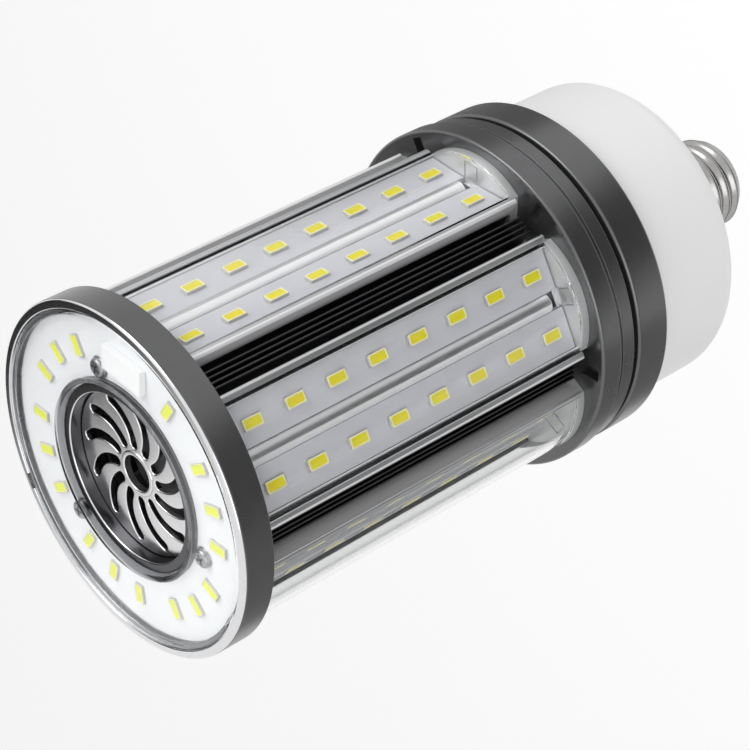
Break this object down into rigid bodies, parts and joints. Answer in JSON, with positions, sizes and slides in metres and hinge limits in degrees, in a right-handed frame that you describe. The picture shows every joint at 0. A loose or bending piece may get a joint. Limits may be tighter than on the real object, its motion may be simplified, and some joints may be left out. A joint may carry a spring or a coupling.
{
  "type": "led corn light bulb",
  "caption": "Long ribbed light bulb with LED strips under clear covers on every side, an LED ring round a vent at its tip, a fan inside, a white driver housing and a screw base.",
  "frame": {"origin": "tip of the centre contact of the screw base, on the lamp's axis", "axes": "+Z along the axis from the screw base to the lighting end, +X out of the middle of one of the lit sides"},
  "size_m": [0.095, 0.095, 0.2164],
  "materials": {
    "ring_paint": "dark grey lacquer, satin, bright turned edges",
    "clear_cover": "clear moulded cover",
    "white_board": "white lacquer, satin",
    "grey_board": "pale grey lacquer, satin",
    "phosphor": "pale yellow",
    "connector": "plain",
    "screw_steel": "bright",
    "bezel_paint": "dark grey lacquer, satin",
    "grille_metal": "satin",
    "sink_aluminium": "as extruded",
    "end_plate_aluminium": "satin",
    "gasket_rubber": "matt",
    "white_plastic": "fine matt",
    "black_plastic": "matt",
    "bearing_brass": "plain",
    "circuit_board": "lacquered",
    "core_iron": "laminated",
    "magnet_ferrite": "sintered",
    "transformer_wrap": "tape over a ferrite core",
    "capacitor_can": "sleeved",
    "choke_copper": "enamelled wire",
    "shell_nickel": "plated",
    "black_glass": "gloss",
    "contact_brass": "plain",
    "wire_cover": "plain"
  },
  "bodies": {
    "lamp": {"base_insulator": "black_glass", "board_connector": "connector", "board_screws": "screw_steel", "centre_contact": "contact_brass", "collar": "ring_paint", "collar_gasket": "gasket_rubber", "collar_screws": "screw_steel", "contact_lead": "wire_cover", "driver_board": "circuit_board", "driver_capacitors": "capacitor_can", "driver_choke": "choke_copper", "driver_housing": "white_plastic", "driver_transformer": "transformer_wrap", "end_plate": "end_plate_aluminium", "end_ring": "ring_paint", "fan_bearing": "bearing_brass", "fan_circuit": "circuit_board", "fan_frame": "black_plastic", "fan_lead": "wire_cover", "fan_screws": "screw_steel", "fan_stator": "core_iron", "front_board": "white_board", "front_cover": "clear_cover", "front_leds": "phosphor", "heat_sink": "sink_aluminium", "housing_screws": "screw_steel", "rear_ring": "ring_paint", "screw_shell": "shell_nickel", "shell_lead": "wire_cover", "side_cover_1": "clear_cover", "side_cover_2": "clear_cover", "side_cover_3": "clear_cover", "side_cover_4": "clear_cover", "side_cover_5": "clear_cover", "side_cover_6": "clear_cover", "side_leds_1": "phosphor", "side_leds_2": "phosphor", "side_leds_3": "phosphor", "side_leds_4": "phosphor", "side_leds_5": "phosphor", "side_leds_6": "phosphor", "side_strip_01": "grey_board", "side_strip_02": "grey_board", "side_strip_03": "grey_board", "side_strip_04": "grey_board", "side_strip_05": "grey_board", "side_strip_06": "grey_board", "side_strip_07": "grey_board", "side_strip_08": "grey_board", "side_strip_09": "grey_board", "side_strip_10": "grey_board", "side_strip_11": "grey_board", "side_strip_12": "grey_board", "supply_lead": "wire_cover", "vent_bezel": "bezel_paint", "vent_grille": "grille_metal"},
    "rotor": {"fan_rotor": "black_plastic", "fan_magnet": "magnet_ferrite", "fan_shaft": "screw_steel"}
  },
  "joints": [
    {"name": "fan_spin", "type": "hinge", "parent": "lamp", "child": "rotor", "pos_m": [0, 0, 0.2], "axis": [0, 0, 1], "continuous": true}
  ]
}
